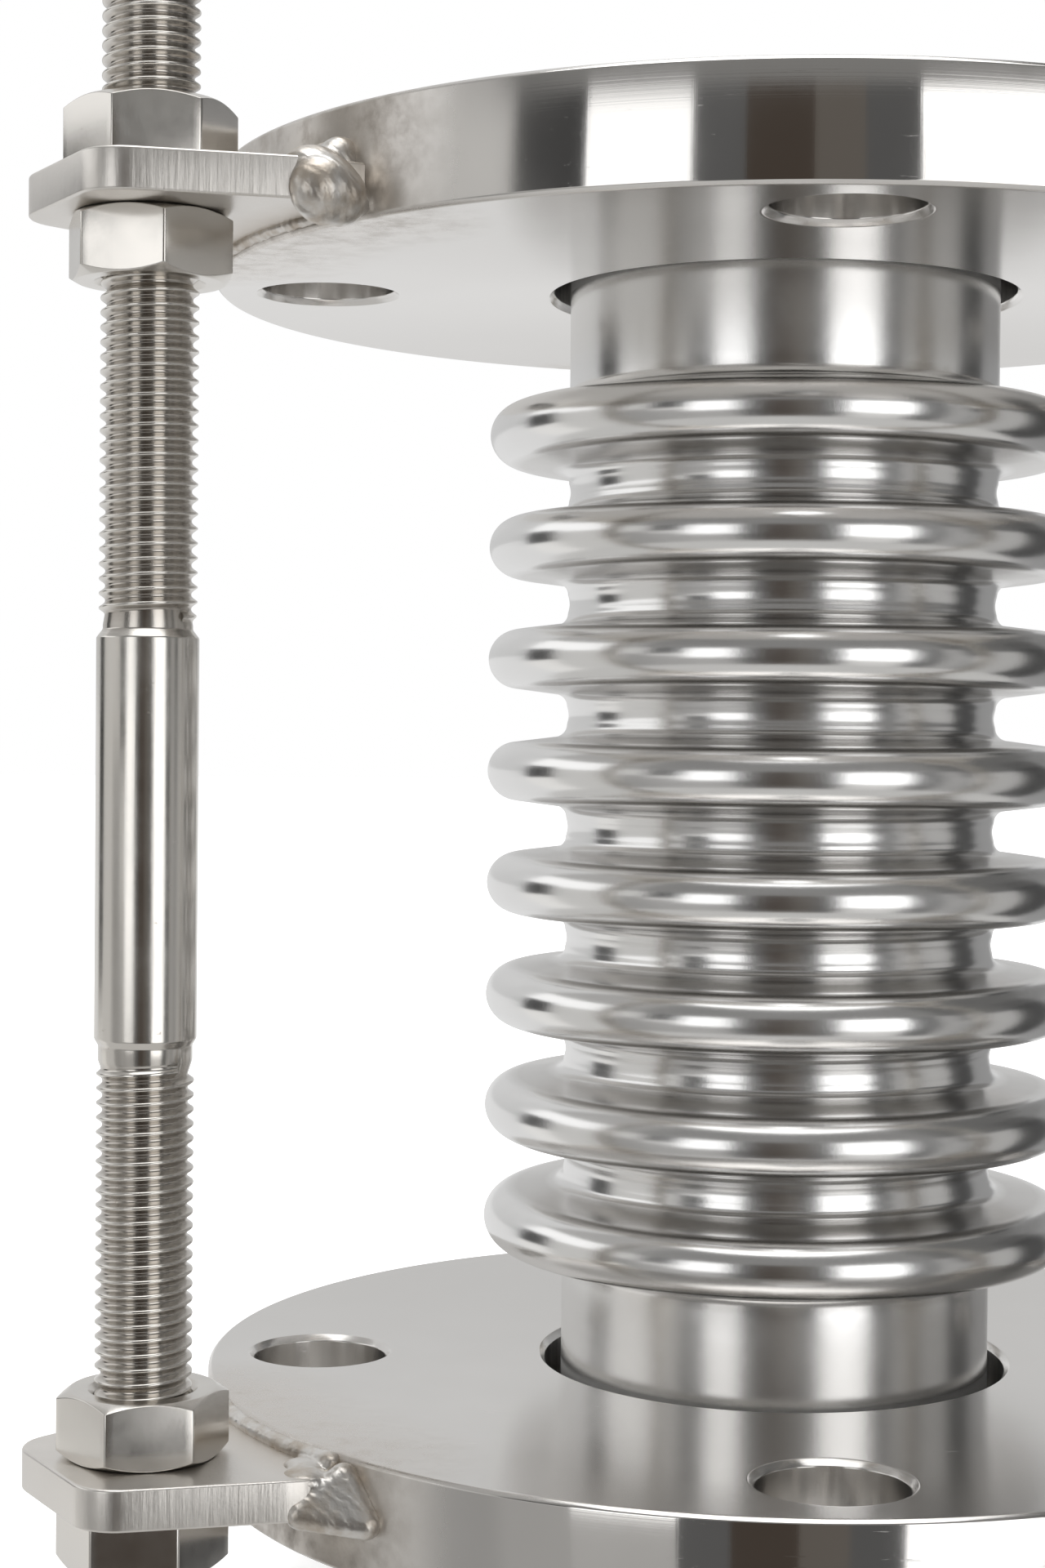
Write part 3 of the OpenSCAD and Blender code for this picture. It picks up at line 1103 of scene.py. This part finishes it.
def card(name, azimuth, elevation, brightness, colour=(1, 1, 1), distance=1.6):
    """A curved studio card that only reflections see. Azimuth 0 lies towards -Y and
    grows towards +X; both angles are ranges in degrees."""
    across = max(2, round((azimuth[1] - azimuth[0]) / 3))
    upward = max(2, round((elevation[1] - elevation[0]) / 4))
    verts, faces = [], []
    for i in range(across + 1):
        a = math.radians(azimuth[0] + (azimuth[1] - azimuth[0]) * i / across)
        for j in range(upward + 1):
            e = math.radians(elevation[0] + (elevation[1] - elevation[0]) * j / upward)
            verts.append((
                distance * math.cos(e) * math.sin(a),
                -distance * math.cos(e) * math.cos(a),
                0.09 + distance * math.sin(e),
            ))
    for i in range(across):
        for j in range(upward):
            p = i * (upward + 1) + j
            faces.append((p, p + upward + 1, p + upward + 2, p + 1))
    mesh = bpy.data.meshes.new(name)
    mesh.from_pydata(verts, [], faces)
    mesh.materials.append(emission(name, colour, brightness))
    obj = bpy.data.objects.new("card_" + name, mesh)
    bpy.context.scene.collection.objects.link(obj)
    obj.visible_camera = False
    obj.visible_diffuse = False
    obj.visible_shadow = False
    obj.visible_transmission = False


def build_studio():
    """Cards, flags and room surfaces that the bright metal mirrors."""
    warm = (1.0, 0.99, 0.97)
    brown = (1.0, 0.80, 0.66)
    card("photographer_sleeve", (-23, -13.5), (-38, 20), 0.11)
    card("photographer", (-13.5, -1.5), (-38, 20), 0.065, brown)
    card("photographer_arm", (-1.5, 7.5), (-38, 20), 0.13, (1.0, 0.90, 0.80))
    card("photographer_side", (7.5, 17.5), (-38, 20), 0.10)
    card("right_softbox", (17.5, 44), (-19, 19), 1.85)
    card("right_softbox_foot", (17.5, 44), (-36, -19), 0.75, warm)
    card("left_softbox", (-42.5, -23), (-12, 18), 1.5)
    card("left_softbox_foot", (-42.5, -23), (-36, -12), 0.45, warm)
    card("left_flag", (-57, -42.5), (2, 20), 0.06)
    card("left_shelf", (-57, -42.5), (-5, 2), 0.70, warm)
    card("left_cupboard", (-57, -42.5), (-36, -5), 0.40, warm)
    card("left_strip", (-74, -57), (2, 20), 0.68, warm)
    card("left_strip_foot", (-74, -57), (-36, 2), 0.34, warm)
    card("left_wall", (-103, -74), (-36, 12), 0.64, warm)
    card("left_door", (-121, -103), (-8, 15), 0.04)
    card("left_skirting", (-122, -103), (-36, -8), 0.90, warm)
    card("left_window", (-122, -103), (15, 32), 1.15)
    card("left_window_far", (-103, -74), (12, 32), 1.15)
    card("backdrop", (-205, -122), (2, 32), 0.64)
    card("backdrop_foot", (-205, -122), (-36, 2), 0.82)
    card("right_flag", (44, 57), (-36, 20), 0.12)
    card("right_shelf", (57, 67), (-36, 20), 0.42, warm)
    card("right_strip", (67, 76), (3, 20), 0.11)
    card("right_strip_foot", (67, 76), (-36, 3), 0.32)
    card("right_wall", (76, 98), (-36, 15), 0.47, warm)
    card("right_wall_top", (76, 98), (15, 20), 0.15)
    card("right_door", (98, 121), (-36, 32), 0.06)
    card("right_backdrop", (121, 155), (-36, 32), 0.32)
    card("ceiling_front", (-62, 60), (20, 72), 0.24, warm)
    card("ceiling_right", (60, 155), (20, 72), 0.14, warm)
    card("ceiling_left", (-123, -62), (32, 72), 0.42, warm)
    card("ceiling_low_left", (-74, -62), (20, 32), 0.40, warm)
    card("ceiling_back", (155, 237), (32, 72), 0.70)
    card("top_softbox", (0, 360), (72, 89), 0.75)
    card("floor_glow", (0, 360), (-89, -36), 0.60, warm)


def build_floor():
    low = cad_box[0].z - 0.0002
    size, cells = 12.0, 24
    work = bmesh.new()
    bmesh.ops.create_grid(work, x_segments=cells, y_segments=cells, size=size / 2)
    mesh = bpy.data.meshes.new("floor")
    work.to_mesh(mesh)
    work.free()
    floor = bpy.data.objects.new("floor", mesh)
    floor.location.z = low
    bpy.context.scene.collection.objects.link(floor)
    material = bpy.data.materials.new("pale_floor")
    material.use_nodes = True
    tree = material.node_tree
    shader = tree.nodes["Principled BSDF"]
    shader.inputs["Roughness"].default_value = 0.9
    shader.inputs["Specular IOR Level"].default_value = 0.0
    shader.inputs["Emission Color"].default_value = (1, 1, 1, 1)
    shader.inputs["Emission Strength"].default_value = 0.35
    spots = noise(tree, node(tree, "ShaderNodeTexCoord").outputs["Object"], 30.0)
    tree.links.new(
        mix_colour(tree, spots, (0.93, 0.93, 0.93), (0.95, 0.95, 0.95)),
        shader.inputs["Base Color"],
    )
    mesh.materials.append(material)
    floor.visible_glossy = False


def build_light():
    world = bpy.data.worlds.new("studio")
    bpy.context.scene.world = world
    world.use_nodes = True
    background = world.node_tree.nodes["Background"]
    background.inputs["Color"].default_value = (1, 1, 1, 1)
    background.inputs["Strength"].default_value = 1.0
    for name, place, size, power in (
        ("top_softbox", (0.0, -0.2, 1.5), 1.6, 14.0),
        ("back_softbox", (-0.9, 1.4, 1.1), 1.2, 8.0),
    ):
        data = bpy.data.lights.new(name, "AREA")
        data.shape = "RECTANGLE"
        data.size = size
        data.size_y = size
        data.energy = power
        light = bpy.data.objects.new(name, data)
        light.location = place
        aim = Vector((0, 0, 0.09)) - Vector(place)
        light.rotation_euler = aim.to_track_quat("-Z", "Y").to_euler()
        light.visible_camera = False
        bpy.context.scene.collection.objects.link(light)


build_studio()
build_floor()
build_light()
bpy.context.scene.view_settings.view_transform = "Standard"
